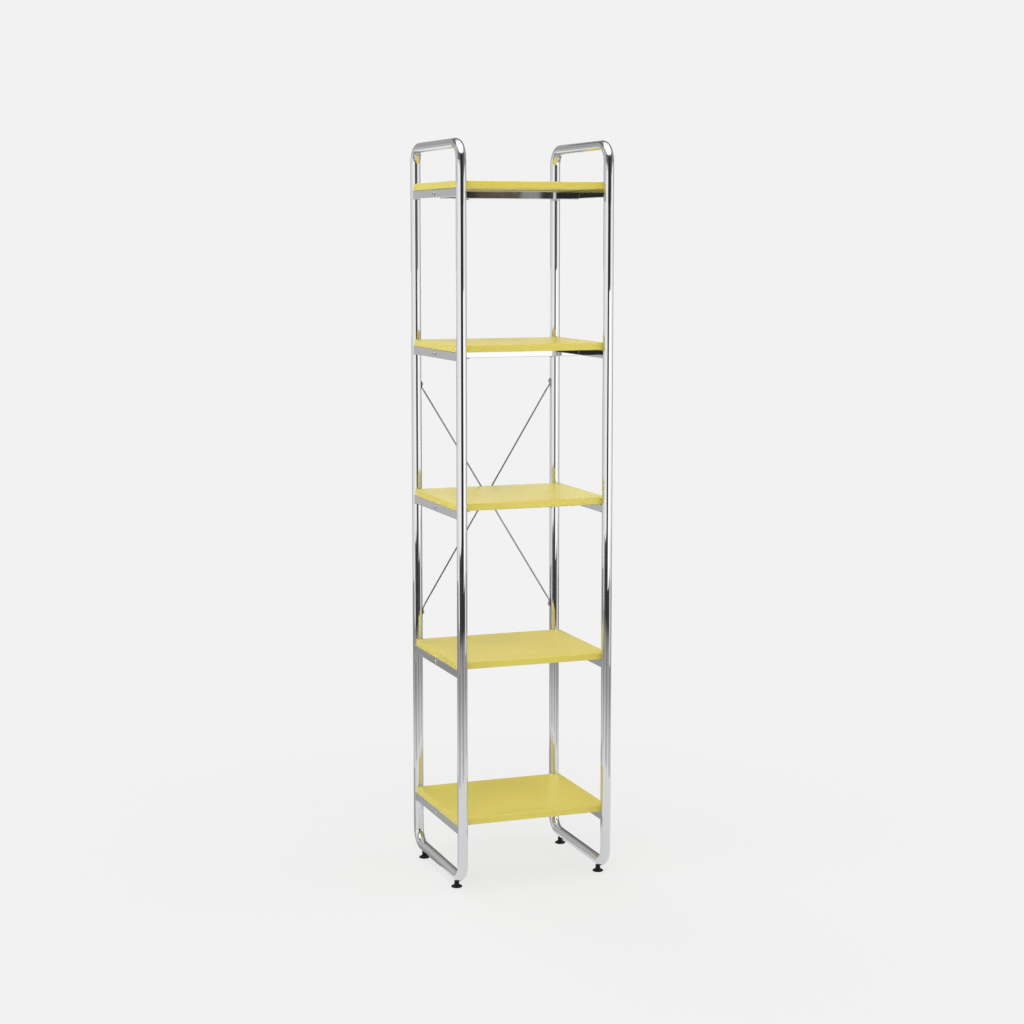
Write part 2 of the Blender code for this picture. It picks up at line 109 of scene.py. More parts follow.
def blended(tree, share, first, second):
    """A colour between two others."""
    inputs = {"Factor": share, "A": first, "B": second}
    mixer = node(tree, "ShaderNodeMix", data_type="RGBA")
    for name, value in inputs.items():
        socket = next(s for s in mixer.inputs if s.name == name and s.enabled)
        supplied(tree, socket, (*value, 1.0) if isinstance(value, tuple) else value)
    return next(s for s in mixer.outputs if s.enabled)


def effect(name, amount_names, output):
    """An empty group that reads a place and some amounts and gives one value."""
    tree = bpy.data.node_groups.new(name, "ShaderNodeTree")
    tree.interface.new_socket("Vector", in_out="INPUT", socket_type="NodeSocketVector")
    for amount in amount_names:
        tree.interface.new_socket(amount, in_out="INPUT", socket_type="NodeSocketFloat")
    tree.interface.new_socket(output, in_out="OUTPUT", socket_type="NodeSocketFloat")
    return tree, tree.nodes.new("NodeGroupInput").outputs, tree.nodes.new("NodeGroupOutput")


def handling_marks():
    """Smears and faint ridged prints where hands have held a glossy surface."""
    tree, given, result = effect("handling marks", ["Amount"], "Marks")
    where = given["Vector"]
    ridge_spacing, smear_strength = 0.012, 0.55
    held = spread(tree, speckle(tree, where, 13.0, 3.0), 0.52, 0.68)
    ridges = maths(tree, "PINGPONG", speckle(tree, where, 70.0, 1.0, 0.8), ridge_spacing)
    ridges = spread(tree, ridges, 0.0, ridge_spacing, 0.35, 1.0)
    smear = spread(tree, speckle(tree, where, 38.0, 4.0, 0.6), 0.45, 0.7)
    print_mask = maths(tree, "MULTIPLY", held, ridges)
    both = maths(tree, "MAXIMUM", print_mask, maths(tree, "MULTIPLY", smear, smear_strength))
    tree.links.new(maths(tree, "MULTIPLY", both, given["Amount"]), result.inputs["Marks"])
    return tree


def fine_scratches():
    """Hairlines left by a polishing cloth, in two crossing directions and never unbroken."""
    tree, given, result = effect("fine scratches", ["Amount"], "Scratches")
    hairs_along = 30.0
    layers = []
    for turn, hairs_across in ((0.35, 2100.0), (-0.6, 2900.0)):
        inputs = {
            "Vector": given["Vector"],
            "Rotation": (turn, turn / 2, turn),
            "Scale": (hairs_across, hairs_across, hairs_along),
        }
        turned = node(tree, "ShaderNodeMapping", inputs).outputs["Vector"]
        hairs = spread(tree, speckle(tree, turned, 1.0, 1.0), 0.68, 0.74)
        broken = spread(tree, speckle(tree, given["Vector"], 52.0, 2.0), 0.48, 0.62)
        layers.append(maths(tree, "MULTIPLY", hairs, broken))
    both = maths(tree, "MAXIMUM", *layers)
    tree.links.new(maths(tree, "MULTIPLY", both, given["Amount"]), result.inputs["Scratches"])
    return tree


def settled_dust():
    """A thin film and single specks of dust on whatever faces up."""
    tree, given, result = effect("settled dust", ["Amount"], "Dust")
    normal = node(tree, "ShaderNodeNewGeometry").outputs["Normal"]
    upward = node(tree, "ShaderNodeSeparateXYZ", {"Vector": normal}).outputs["Z"]
    facing = spread(tree, upward, 0.35, 0.95)
    film = spread(tree, speckle(tree, given["Vector"], 24.0, 4.0), 0.35, 0.75, 0.05, 0.30)
    specks = spread(tree, speckle(tree, given["Vector"], 620.0, 2.0), 0.70, 0.76)
    fallen = maths(tree, "MULTIPLY", facing, maths(tree, "MAXIMUM", film, specks))
    tree.links.new(maths(tree, "MULTIPLY", fallen, given["Amount"]), result.inputs["Dust"])
    return tree


MARKS = handling_marks()
SCRATCHES = fine_scratches()
DUST = settled_dust()


def applied(tree, group, where, **amounts):
    """A shared effect placed in a material with that material's own amounts."""
    inputs = {"Vector": where}
    inputs.update({name.capitalize(): value for name, value in amounts.items()})
    return node(tree, "ShaderNodeGroup", inputs, node_tree=group).outputs[0]


def new_finish(name):
    """An empty finish. Gives the material, its nodes, its shader and the place on the piece."""
    material = bpy.data.materials.new(name)
    material.use_nodes = True
    tree = material.node_tree
    where = tree.nodes.new("ShaderNodeTexCoord").outputs["Object"]
    return material, tree, tree.nodes["Principled BSDF"], where


def feed(tree, shader, **sources):
    """Feeds the shader's inputs. A name's underscores stand for spaces."""
    for name, source in sources.items():
        tree.links.new(source, shader.inputs[name.replace("_", " ")])


def chrome_plating(name, bright, tinted, smoothest):
    """Chrome: a mirror with slow waves from bending and polishing, smears and light dust."""
    material, tree, shader, where = new_finish(name)
    marks = applied(tree, MARKS, where, amount=1.0)
    scratches = applied(tree, SCRATCHES, where, amount=1.0)
    dust = applied(tree, DUST, where, amount=0.3)
    clouds = spread(tree, speckle(tree, where, 7.0, 3.0), 0.35, 0.65)
    plate = blended(tree, clouds, bright, tinted)
    colour = blended(tree, dust, plate, DUST_COLOUR)
    worn = layered(tree, smoothest, (marks, 0.07), (scratches, 0.10), (dust, 0.55))
    metal = spread(tree, dust, 0.0, 1.0, 1.0, 0.15)
    height = layered(tree, speckle(tree, where, 9.0, 0.0), (scratches, -0.01))
    bump = node(tree, "ShaderNodeBump", {"Height": height, "Strength": 1.0, "Distance": 0.00004})
    feed(
        tree,
        shader,
        Base_Color=colour,
        Roughness=worn,
        Metallic=metal,
        Normal=bump.outputs["Normal"],
    )
    return material


CHROME = chrome_plating("bright chrome", CHROME_COLOUR, CHROME_TINT, 0.03)


def closed_up(shape):
    """Merges what meets and turns every face outwards."""
    bmesh.ops.remove_doubles(shape, verts=shape.verts, dist=MERGE_DISTANCE)
    bmesh.ops.recalc_face_normals(shape, faces=shape.faces)


def pulled(shape, edges, move, grow=(1, 1, 1)):
    """Extrudes open edges, scales and moves what was pulled out, and gives the new edges."""
    made = bmesh.ops.extrude_edge_only(shape, edges=edges)["geom"]
    verts = [item for item in made if isinstance(item, bmesh.types.BMVert)]
    bmesh.ops.scale(shape, vec=grow, verts=verts)
    bmesh.ops.translate(shape, vec=move, verts=verts)
    return [
        item
        for item in made
        if isinstance(item, bmesh.types.BMEdge) and all(v in verts for v in item.verts)
    ]


def finished(name, shape, finish, stands_for, body="etagere", flat_faces=False):
    """A finished piece in its place, riding on its body and shown instead of its CAD solid."""
    closed_up(shape)
    mesh = bpy.data.meshes.new(name)
    shape.to_mesh(mesh)
    shape.free()
    mesh.shade_smooth()
    mesh.set_sharp_from_angle(angle=CREASE_ANGLE)
    mesh.materials.append(finish)
    piece = bpy.data.objects.new(name, mesh)
    bpy.context.scene.collection.objects.link(piece)
    if flat_faces:
        even = piece.modifiers.new("Flat faces stay flat", "WEIGHTED_NORMAL")
        even.weight = FLAT_FACE_WEIGHT
        even.keep_sharp = True
    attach(piece, body)
    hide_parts(stands_for)


def tube_loop(low, high):
    """Round tube along a rectangle with four bends, inside the box from low to high."""
    middle = (low.x + high.x) / 2
    turn = TUBE_RADIUS + BEND_RADIUS
    depth, height = high.y - turn, high.z - turn
    shape = bmesh.new()
    start = Matrix.Translation((middle, depth + BEND_RADIUS, height))
    ring = bmesh.ops.create_circle(
        shape, cap_ends=False, segments=TUBE_FACETS, radius=TUBE_RADIUS, matrix=start
    )["verts"]
    last = list({edge for vert in ring for edge in vert.link_edges})
    bottom = low.z + turn
    runs = (
        ((depth, height), (0, -2 * depth, 0)),
        ((-depth, height), (0, 0, bottom - height)),
        ((-depth, bottom), (0, 2 * depth, 0)),
        ((depth, bottom), (0, 0, height - bottom)),
    )
    for centre, straight in runs:
        verts = list({vert for edge in last for vert in edge.verts})
        bend = bmesh.ops.spin(
            shape,
            geom=verts + last,
            cent=(middle, *centre),
            axis=(1, 0, 0),
            angle=math.pi / 2,
            steps=BEND_FACETS,
        )["geom_last"]
        last = [item for item in bend if isinstance(item, bmesh.types.BMEdge)]
        last = pulled(shape, last, straight)
    return shape


for side in SIDES:
    loop = tube_loop(*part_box(f"frame_{side}"))
    finished(f"tube_loop_{side}", loop, CHROME, f"frame_{side}")

# Side brackets. Rectangular steel tube with ends cut to the round tubes, welded between the front
# and the rear tube. The weld is dressed to a small even fillet and chromed over with the frame.
PROFILE_RADIUS = 0.0016
PROFILE_STEPS = 5
WELD_FILLET = (
    (-0.0022, 0.0),
    (-0.0016, 0.00025),
    (-0.0009, 0.0009),
    (-0.0002, 0.0014),
    (0.0, 0.0014),
)
SADDLE_COLUMNS = 9
LEVELS = ("bottom", "lower", "middle", "upper", "top")


def rounded_outline(shape, width, height, radius, steps):
    """The edges of a rectangle with round corners, upright in the XZ plane."""
    square = bmesh.ops.create_grid(shape, x_segments=1, y_segments=1, size=0.5)["verts"]
    bmesh.ops.scale(shape, vec=(width, height, 1), verts=square)
    bmesh.ops.bevel(
        shape,
        geom=square,
        offset=radius,
        offset_type="OFFSET",
        affect="VERTICES",
        segments=steps,
        profile=0.5,
        material=-1,
    )
    bmesh.ops.delete(shape, geom=shape.faces[:], context="FACES_ONLY")
    upright = Matrix.Rotation(math.pi / 2, 3, "X")
    bmesh.ops.rotate(shape, cent=(0, 0, 0), matrix=upright, verts=shape.verts)
    long_edges = [edge for edge in shape.edges if edge.calc_length() > width / 2]
    across = [edge for edge in long_edges if abs(edge.verts[0].co.z - edge.verts[1].co.z) < radius]
    bmesh.ops.subdivide_edges(shape, edges=across, cuts=SADDLE_COLUMNS)
    return shape.edges[:]


def saddle(offset):
    """How far a round tube's surface falls back at this distance beside its highest line."""
    return TUBE_RADIUS - math.sqrt(TUBE_RADIUS**2 - offset**2)


def doubled(shape):
    """Joins half a bar to its mirror image on the other side of the XZ plane."""
    half = shape.verts[:] + shape.edges[:] + shape.faces[:]
    bmesh.ops.mirror(shape, geom=half, axis="Y", merge_dist=MERGE_DISTANCE)


def welded_bracket(low, high, tube_line):
    """Half a bracket pulled towards the front, flared into its weld, then mirrored to the rear."""
    width, height = high.x - low.x, high.z - low.z
    reach = tube_line - TUBE_RADIUS
    shape = bmesh.new()
    last = rounded_outline(shape, width, height, PROFILE_RADIUS, PROFILE_STEPS)
    place, growth = 0.0, 0.0
    for back, flare in WELD_FILLET:
        grow = (
            (width / 2 + flare) / (width / 2 + growth),
            1,
            (height / 2 + flare) / (height / 2 + growth),
        )
        last = pulled(shape, last, (0, place - reach - back, 0), grow)
        place, growth = reach + back, flare
    bmesh.ops.contextual_create(shape, geom=last)
    for vert in shape.verts:
        if vert.co.y < -reach / 2:
            vert.co.y -= saddle(vert.co.x)
    doubled(shape)
    centre = ((low.x + high.x) / 2, 0, (low.z + high.z) / 2)
    bmesh.ops.translate(shape, vec=centre, verts=shape.verts)
    return shape


tube_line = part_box("frame_left")[1].y - TUBE_RADIUS
for level in LEVELS:
    for side in SIDES:
        solid = f"bracket_{level}_{side}"
        shape = welded_bracket(*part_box(solid), tube_line)
        finished(f"side_{solid}", shape, CHROME, solid, flat_faces=True)

# Cross rails. The same kind of rectangular tube, one under the middle of each shelf, with a plate
# welded in each end that takes the bolt through the bracket. Its end edges are ground.
RAIL_END_BREAK = 0.0006


def rail_bar(low, high):
    """Rectangular tube along X with broken end edges."""
    size = high - low
    shape = bmesh.new()
    last = rounded_outline(shape, size.y, size.z, PROFILE_RADIUS, PROFILE_STEPS)
    broken = ((size.y - 2 * RAIL_END_BREAK) / size.y, 1, (size.z - 2 * RAIL_END_BREAK) / size.z)
    half = size.x / 2
    last = pulled(shape, last, (0, half - RAIL_END_BREAK, 0))
    last = pulled(shape, last, (0, RAIL_END_BREAK, 0), broken)
    bmesh.ops.contextual_create(shape, geom=last)
    doubled(shape)
    quarter = Matrix.Rotation(math.pi / 2, 3, "Z")
    bmesh.ops.rotate(shape, cent=(0, 0, 0), matrix=quarter, verts=shape.verts)
    bmesh.ops.translate(shape, vec=(low + high) / 2, verts=shape.verts)
    return shape


for level in LEVELS:
    shape = rail_bar(*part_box(f"rail_{level}"))
    finished(f"cross_rail_{level}", shape, CHROME, f"rail_{level}", flat_faces=True)

# Shelves. Dense fibre board, cut square with barely rounded corners, its edges sanded soft and
# sealed, then sprayed all round with a satin yellow lacquer that dries to a faint orange peel.
SHELF_CORNER_RADIUS = 0.003
SHELF_EDGE_RADIUS = 0.0014
SHELF_STEPS = 5
SHELF_RIM = 0.0005
LEVEL_FACE = 0.99
LACQUER_COLOUR = (0.83, 0.715, 0.090)
LACQUER_DEEP = (0.80, 0.648, 0.085)
LACQUER_RUBBED = (0.88, 0.79, 0.16)
RUB_WIDTH = 0.0016


def rubbed_edges():
    """Where outer edges get worn: a mask from how much the surface turns within a short reach."""
    tree, given, result = effect("rubbed edges", ["Width", "Amount"], "Rub")
    reach = node(tree, "ShaderNodeBevel", {"Radius": given["Width"]}, samples=6).outputs["Normal"]
    plain = node(tree, "ShaderNodeNewGeometry").outputs["Normal"]
    inputs = {0: reach, 1: plain}
    along = node(tree, "ShaderNodeVectorMath", inputs, operation="DOT_PRODUCT").outputs["Value"]
    turned = spread(tree, maths(tree, "SUBTRACT", 1.0, along), 0.02, 0.16)
    broken = spread(tree, speckle(tree, given["Vector"], 85.0, 4.0), 0.44, 0.66)
    worn = maths(tree, "MULTIPLY", turned, broken)
    tree.links.new(maths(tree, "MULTIPLY", worn, given["Amount"]), result.inputs["Rub"])
    return tree


RUB = rubbed_edges()


def satin_lacquer():
    """Sprayed yellow lacquer with slow clouds in its colour, rubbed edges and a fine orange peel."""
    material, tree, shader, where = new_finish("yellow lacquer")
    marks = applied(tree, MARKS, where, amount=0.8)
    scratches = applied(tree, SCRATCHES, where, amount=0.5)
    dust = applied(tree, DUST, where, amount=0.12)
    rub = applied(tree, RUB, where, width=RUB_WIDTH, amount=0.7)
    clouds = spread(tree, speckle(tree, where, 5.0, 4.0), 0.3, 0.7)
    colour = blended(tree, clouds, LACQUER_COLOUR, LACQUER_DEEP)
    colour = blended(tree, rub, colour, LACQUER_RUBBED)
    colour = blended(tree, dust, colour, DUST_COLOUR)
    worn = layered(tree, 0.36, (marks, 0.06), (scratches, 0.10), (dust, 0.3))
    peel = speckle(tree, where, 420.0, 2.0)
    grain = speckle(tree, where, 1700.0, 1.0)
    height = layered(tree, peel, (grain, 0.25), (scratches, -0.3))
    bump = node(tree, "ShaderNodeBump", {"Height": height, "Strength": 1.0, "Distance": 0.00002})
    feed(tree, shader, Base_Color=colour, Roughness=worn, Normal=bump.outputs["Normal"])
    shader.inputs["Specular IOR Level"].default_value = 1.0
    return material


LACQUER = satin_lacquer()


def shelf_board(low, high):
    """A solid board. A narrow rim inside each face keeps the face flat up to its soft edge."""
    size = high - low
    shape = bmesh.new()
    bmesh.ops.create_cube(shape, size=1, matrix=Matrix.Diagonal((*size, 1)))
    upright = [
        edge for edge in shape.edges if abs(edge.verts[0].co.z - edge.verts[1].co.z) > size.z / 2
    ]
    settings = {"offset_type": "OFFSET", "affect": "EDGES", "profile": 0.5, "material": -1}
    bmesh.ops.bevel(
        shape, geom=upright, offset=SHELF_CORNER_RADIUS, segments=SHELF_STEPS, **settings
    )
    level_faces = [face for face in shape.faces if abs(face.normal.z) > LEVEL_FACE]
    rims = list({edge for face in level_faces for edge in face.edges})
    bmesh.ops.bevel(shape, geom=rims, offset=SHELF_EDGE_RADIUS, segments=SHELF_STEPS, **settings)
    corner_area = size.z * SHELF_CORNER_RADIUS * 4
    wide = [face for face in shape.faces if face.calc_area() > corner_area]
    bmesh.ops.inset_individual(shape, faces=wide, thickness=SHELF_RIM)
    bmesh.ops.translate(shape, vec=(low + high) / 2, verts=shape.verts)
    return shape


for level in LEVELS:
    shape = shelf_board(*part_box(f"shelf_{level}"))
    finished(f"shelf_board_{level}", shape, LACQUER, f"shelf_{level}")

# Socket bolts. One button head bolt through each bracket into the end of its rail, chromed, with a
# hexagon socket in its low dome.
ROUND_FACETS = 40
DOME_STEPS = 8
BOLT_SHANK_RADIUS = 0.003
BOLT_HEAD_RADIUS = 0.00525
BOLT_HEAD_HEIGHT = 0.0033
BOLT_HEAD_RIM = 0.0007
BOLT_SOCKET_RADIUS = 0.0023
BOLT_SOCKET_DEPTH = 0.002
BOLT_END_CHAMFER = 0.0006
SOCKET_LAND = 0.0003
SEAT_GAP = 0.0003


def spun(shape, profile, facets=ROUND_FACETS):
    """A surface turned about Z from a profile of radius and height. Gives its open rim, if any."""
    points = [shape.verts.new((radius, 0, height)) for radius, height in profile]
    edges = [shape.edges.new(pair) for pair in zip(points, points[1:])]
    bmesh.ops.spin(
        shape,
        geom=points + edges,
        cent=(0, 0, 0),
        axis=(0, 0, 1),
        angle=2 * math.pi,
        steps=facets,
        use_merge=True,
    )
    bmesh.ops.remove_doubles(shape, verts=shape.verts, dist=MERGE_DISTANCE)
    return [edge for edge in shape.edges if edge.is_boundary]


def domed(radius, rim, height, land):
    """Profile of a low dome from its rim to a small flat land of this radius."""
    top = math.acos(land / radius)
    turns = [step / DOME_STEPS * top for step in range(DOME_STEPS + 1)]
    rise = (height - rim) / math.sin(top)
    return [(radius * math.cos(turn), rim + rise * math.sin(turn)) for turn in turns]


def sunk(shape, rim, outline, depth, narrowing, cone):
    """Joins a head's open rim to a recess's outline, and sinks the recess to a pointed floor."""
    mouth = list({edge for vert in outline for edge in vert.link_edges})
    bmesh.ops.bridge_loops(shape, edges=rim + mouth)
    floor = pulled(shape, mouth, (0, 0, -depth), (narrowing, narrowing, 1))
    bottom = bmesh.ops.contextual_create(shape, geom=floor)["faces"]
    bmesh.ops.poke(shape, faces=bottom, offset=-cone)


def socket_bolt(reach):
    """Head above the XY plane, shank down to -reach."""
    shape = bmesh.new()
    shank, land = BOLT_SHANK_RADIUS, BOLT_SOCKET_RADIUS + SOCKET_LAND
    profile = [
        (0, -reach),
        (shank - BOLT_END_CHAMFER, -reach),
        (shank, BOLT_END_CHAMFER - reach),
        (shank, 0),
        (BOLT_HEAD_RADIUS, 0),
    ]
    profile += domed(BOLT_HEAD_RADIUS, BOLT_HEAD_RIM, BOLT_HEAD_HEIGHT, land)
    rim = spun(shape, profile)
    hexagon = bmesh.ops.create_circle(
        shape,
        cap_ends=False,
        segments=6,
        radius=BOLT_SOCKET_RADIUS,
        matrix=Matrix.Translation((0, 0, BOLT_HEAD_HEIGHT)),
    )["verts"]
    sunk(shape, rim, hexagon, BOLT_SOCKET_DEPTH, 1.0, BOLT_SOCKET_RADIUS / 4)
    return shape


def seated(shape, seat, angle, axis):
    """Turns a bolt or screw from upright about one axis and sets it on its seat."""
    matrix = Matrix.Translation(seat) @ Matrix.Rotation(angle, 4, axis)
    bmesh.ops.transform(shape, matrix=matrix, verts=shape.verts)


for level in LEVELS:
    for side, outward in SIDES.items():
        solid = f"bracket_bolt_{level}_{side}"
        low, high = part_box(solid)
        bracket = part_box(f"bracket_{level}_{side}")
        face = bracket[1].x if outward > 0 else bracket[0].x
        shape = socket_bolt(high.x - low.x - BOLT_HEAD_HEIGHT)
        seat = Vector((face + outward * SEAT_GAP, (low.y + high.y) / 2, (low.z + high.z) / 2))
        seated(shape, seat, outward * math.pi / 2, "Y")
        finished(f"socket_bolt_{level}_{side}", shape, CHROME, solid)

# Shelf screws. Two pan head wood screws go up through each rail into the board, zinc plated, with
# a cross recess.
SCREW_SHANK_RADIUS = 0.002
SCREW_HEAD_RADIUS = 0.00375
SCREW_HEAD_HEIGHT = 0.0024
SCREW_HEAD_RIM = 0.0008
SCREW_POINT = 0.0025
SCREW_POINT_SHARE = 0.2
CROSS_LENGTH = 0.0021
CROSS_WIDTH = 0.0005
CROSS_DEPTH = 0.0014
CROSS_NARROWING = 0.45
ZINC_COLOUR = (0.50, 0.51, 0.52)
ZINC_TINT = (0.44, 0.46, 0.50)
ZINC_DULL = (0.30, 0.30, 0.29)


def zinc_plating():
    """Bright zinc over steel: a soft shine with faint blue clouds, dull grains and grime."""
    material, tree, shader, where = new_finish("bright zinc")
    clouds = spread(tree, speckle(tree, where, 240.0, 3.0), 0.35, 0.65)
    dull = spread(tree, speckle(tree, where, 900.0, 3.0), 0.5, 0.75)
    rub = applied(tree, RUB, where, width=0.0004, amount=0.8)
    plate = blended(tree, clouds, ZINC_COLOUR, ZINC_TINT)
    plate = blended(tree, maths(tree, "MULTIPLY", dull, 0.5), plate, ZINC_DULL)
    colour = blended(tree, rub, plate, CHROME_COLOUR)
    worn = layered(tree, 0.24, (dull, 0.22), (rub, -0.08))
    grain = speckle(tree, where, 2600.0, 2.0)
    bump = node(tree, "ShaderNodeBump", {"Height": grain, "Strength": 0.8, "Distance": 0.00002})
    feed(tree, shader, Base_Color=colour, Roughness=worn, Normal=bump.outputs["Normal"])
    shader.inputs["Metallic"].default_value = 1.0
    return material


ZINC = zinc_plating()


def cross_screw(reach, point):
    """Pan head with a cross recess above the XY plane, and a plain shank that ends in a point."""
    shape = bmesh.new()
    shank, land = SCREW_SHANK_RADIUS, CROSS_LENGTH + SOCKET_LAND
    profile = [
        (0, -reach),
        (shank * SCREW_POINT_SHARE, -reach),
        (shank, point - reach),
        (shank, 0),
        (SCREW_HEAD_RADIUS, 0),
    ]
    profile += domed(SCREW_HEAD_RADIUS, SCREW_HEAD_RIM, SCREW_HEAD_HEIGHT, land)
    rim = spun(shape, profile)
    corner = ((CROSS_LENGTH, -CROSS_WIDTH), (CROSS_LENGTH, CROSS_WIDTH), (CROSS_WIDTH, CROSS_WIDTH))
    outline = []
    for quarter in range(4):
        turn = Matrix.Rotation(quarter * math.pi / 2, 2)
        outline += [shape.verts.new((*(turn @ Vector(spot)), SCREW_HEAD_HEIGHT)) for spot in corner]
    for first, second in zip(outline, outline[1:] + outline[:1]):
        shape.edges.new((first, second))
    sunk(shape, rim, outline, CROSS_DEPTH, CROSS_NARROWING, CROSS_WIDTH / 4)
    return shape


for level in LEVELS:
    for side in SIDES:
        solid = f"shelf_screw_{level}_{side}"
        low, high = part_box(solid)
        shape = cross_screw(high.z - low.z - SCREW_HEAD_HEIGHT, SCREW_POINT)
        seat = Vector(((low.x + high.x) / 2, (low.y + high.y) / 2, low.z + SCREW_HEAD_HEIGHT))
        seated(shape, seat, math.pi, "X")
        finished(f"board_screw_{level}_{side}", shape, ZINC, solid)

# Brace. Two chromed steel rods cross behind the middle shelf. Each end is forged flat, drilled and
# bent upright against the inner side of a rear tube. The front rod just passes the rear one.
ROD_RADIUS = 0.002
ROD_FACETS = 24
TAB_HALF_WIDTH = 0.0045
TAB_HALF_THICKNESS = 0.0009
TAB_REACH = 0.007
TAB_BEND_RADIUS = 0.006
TAPER_LENGTH = 0.014
TAPER_STEPS = 12
TIP_STEPS = 8
FLAT_SECTION_POWER = 0.42
ROD_GAP = 0.0003
KEYS_PER_METRE = 1e7
# The rods' chrome is the frame's chrome painted about half as bright: painted shade, not a darker
# plating.
SHADED_ROD_COLOUR = (0.375, 0.395, 0.44)
SHADED_ROD_TINT = (0.32, 0.335, 0.37)
SHADED_ROD_CHROME = chrome_plating("rod chrome with painted shade", SHADED_ROD_COLOUR, SHADED_ROD_TINT, 0.22)


def rod_stations(side, top, bottom):
    """Half a rod's line in its own plane, from the tip of its upper tab down to the round rod.

    Each station has its place, the direction it runs in, how flat it is and its share of width.
    """
    down = Vector((0, -1))
    middle = Vector((0, (top + bottom) / 2))
    bend_start = Vector((side, top - TAB_REACH))
    bend_centre = bend_start + Vector((TAB_BEND_RADIUS, 0))
    aim = middle - bend_centre
    bend = math.atan2(aim.y, aim.x) - math.acos(TAB_BEND_RADIUS / aim.length) + math.pi
    tip = Vector((side, top + TAB_REACH))
    stations = []
    for step in range(1, TIP_STEPS + 1):
        turn = (1 - step / TIP_STEPS) * math.pi / 2
        rise = TAB_HALF_WIDTH * (math.sin(turn) - 1)
        width_share = max(math.cos(turn), 1 / TIP_STEPS)
        stations.append((tip + Vector((0, rise)), down, 1, width_share))
    stations.append((bend_start, down, 1, 1))
    for step in range(1, TAPER_STEPS + 1):
        turn = bend * step / TAPER_STEPS
        spoke = Vector((-math.cos(turn), -math.sin(turn)))
        run = Vector((math.sin(turn), -math.cos(turn)))
        stations.append((bend_centre + TAB_BEND_RADIUS * spoke, run, 1, 1))
    start, run = stations[-1][:2]
    for step in range(1, TAPER_STEPS + 1):
        share = step / TAPER_STEPS
        flat = (1 + math.cos(share * math.pi)) / 2
        stations.append((start + share * TAPER_LENGTH * run, run, flat, 1))
    return stations


def round_key(place):
    """A place in whole tenths of a micrometre, to tell a pulled point from its start."""
    return tuple(round(value * KEYS_PER_METRE) for value in place)


def brace_rod(side, top, bottom, aside, behind):
    """The rod's section carried along its stations, then along the same line turned half round."""
    shape = bmesh.new()
    half = rod_stations(side, top, bottom)
    line = half + [
        (Vector((-spot.x, top + bottom - spot.y)), run, flat, width_share)
        for spot, run, flat, width_share in reversed(half)
    ]
    ring = bmesh.ops.create_circle(shape, cap_ends=False, segments=ROD_FACETS, radius=1)["verts"]
    turns = [math.atan2(vert.co.y, vert.co.x) for vert in ring]
    last = list({edge for vert in ring for edge in vert.link_edges})
    first_cap = last
    for count, (spot, run, flat, width_share) in enumerate(line):
        wide = (ROD_RADIUS + flat * (TAB_HALF_WIDTH - ROD_RADIUS)) * width_share
        thick = ROD_RADIUS + flat * (TAB_HALF_THICKNESS - ROD_RADIUS)
        power = 1 + flat * (FLAT_SECTION_POWER - 1)
        across = Vector((-run.y, run.x))
        if count:
            made = bmesh.ops.extrude_edge_only(shape, edges=last)["geom"]
            fresh = [item for item in made if isinstance(item, bmesh.types.BMVert)]
            order = {round_key(vert.co): vert for vert in fresh}
            ring = [order[round_key(vert.co)] for vert in ring]
            last = [
                item
                for item in made
                if isinstance(item, bmesh.types.BMEdge) and all(v in fresh for v in item.verts)
            ]
        for vert, turn in zip(ring, turns):
            cosine = math.copysign(abs(math.cos(turn)) ** power, math.cos(turn))
            sine = math.copysign(abs(math.sin(turn)) ** power, math.sin(turn))
            place = spot + thick * sine * across
            vert.co = (place.x, behind + wide * cosine + (1 - flat) * aside, place.y)
    bmesh.ops.contextual_create(shape, geom=first_cap)
    bmesh.ops.contextual_create(shape, geom=last)
    return shape


screw_low, screw_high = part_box("brace_screw_top_left")
brace_top = (screw_low.z + screw_high.z) / 2
screw_low, screw_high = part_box("brace_screw_bottom_left")
brace_bottom = (screw_low.z + screw_high.z) / 2
tab_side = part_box("frame_left")[1].x + ROD_GAP + TAB_HALF_THICKNESS
beside = ROD_RADIUS + ROD_GAP / 2
for rod, side_sign, aside in (("front", 1, -beside), ("rear", -1, beside)):
    shape = brace_rod(tab_side, brace_top, brace_bottom, aside, tube_line)
    if side_sign < 0:
        bmesh.ops.scale(shape, vec=(-1, 1, 1), verts=shape.verts)
    finished(f"crossed_rod_{rod}", shape, SHADED_ROD_CHROME, f"brace_rod_{rod}")

# Brace screws. A short zinc plated pan head screw with a cross recess goes through each flat rod
# end into the inner side of its rear tube.
BRACE_SCREW_POINT = 0.0005

for level in ("top", "bottom"):
    for side, outward in SIDES.items():
        solid = f"brace_screw_{level}_{side}"
        low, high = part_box(solid)
        shape = cross_screw(high.x - low.x - SCREW_HEAD_HEIGHT, BRACE_SCREW_POINT)
        inner = low.x + SCREW_HEAD_HEIGHT if outward > 0 else high.x - SCREW_HEAD_HEIGHT
        seat = Vector((inner, (low.y + high.y) / 2, (low.z + high.z) / 2))
        seated(shape, seat, -outward * math.pi / 2, "Y")
        finished(f"rod_end_screw_{level}_{side}", shape, ZINC, solid)

# Foot bushes. A plain bush in the underside of each bottom bar takes the foot's stud. It is fixed
# by a small ring of weld that follows the curve of the tube.
BUSH_RADIUS = 0.0055
BUSH_BORE_RADIUS = 0.0043
BUSH_BREAK = 0.0003
BEAD_OUT, BEAD_DROP, BEAD_IN = 0.0013, 0.00018, 0.0006


def foot_bush(low, high):
    """A plain sleeve with broken lower edges, from the XY plane up."""
    shape = bmesh.new()
    bore, wall, edge = BUSH_BORE_RADIUS, BUSH_RADIUS, BUSH_BREAK
    height = high.z - low.z
    spun(
        shape,
        [
            (bore, edge),
            (bore + edge, 0),
            (wall - edge, 0),
            (wall, edge),
            (wall, height),
            (bore, height),
            (bore, edge),
        ],
    )
    return shape


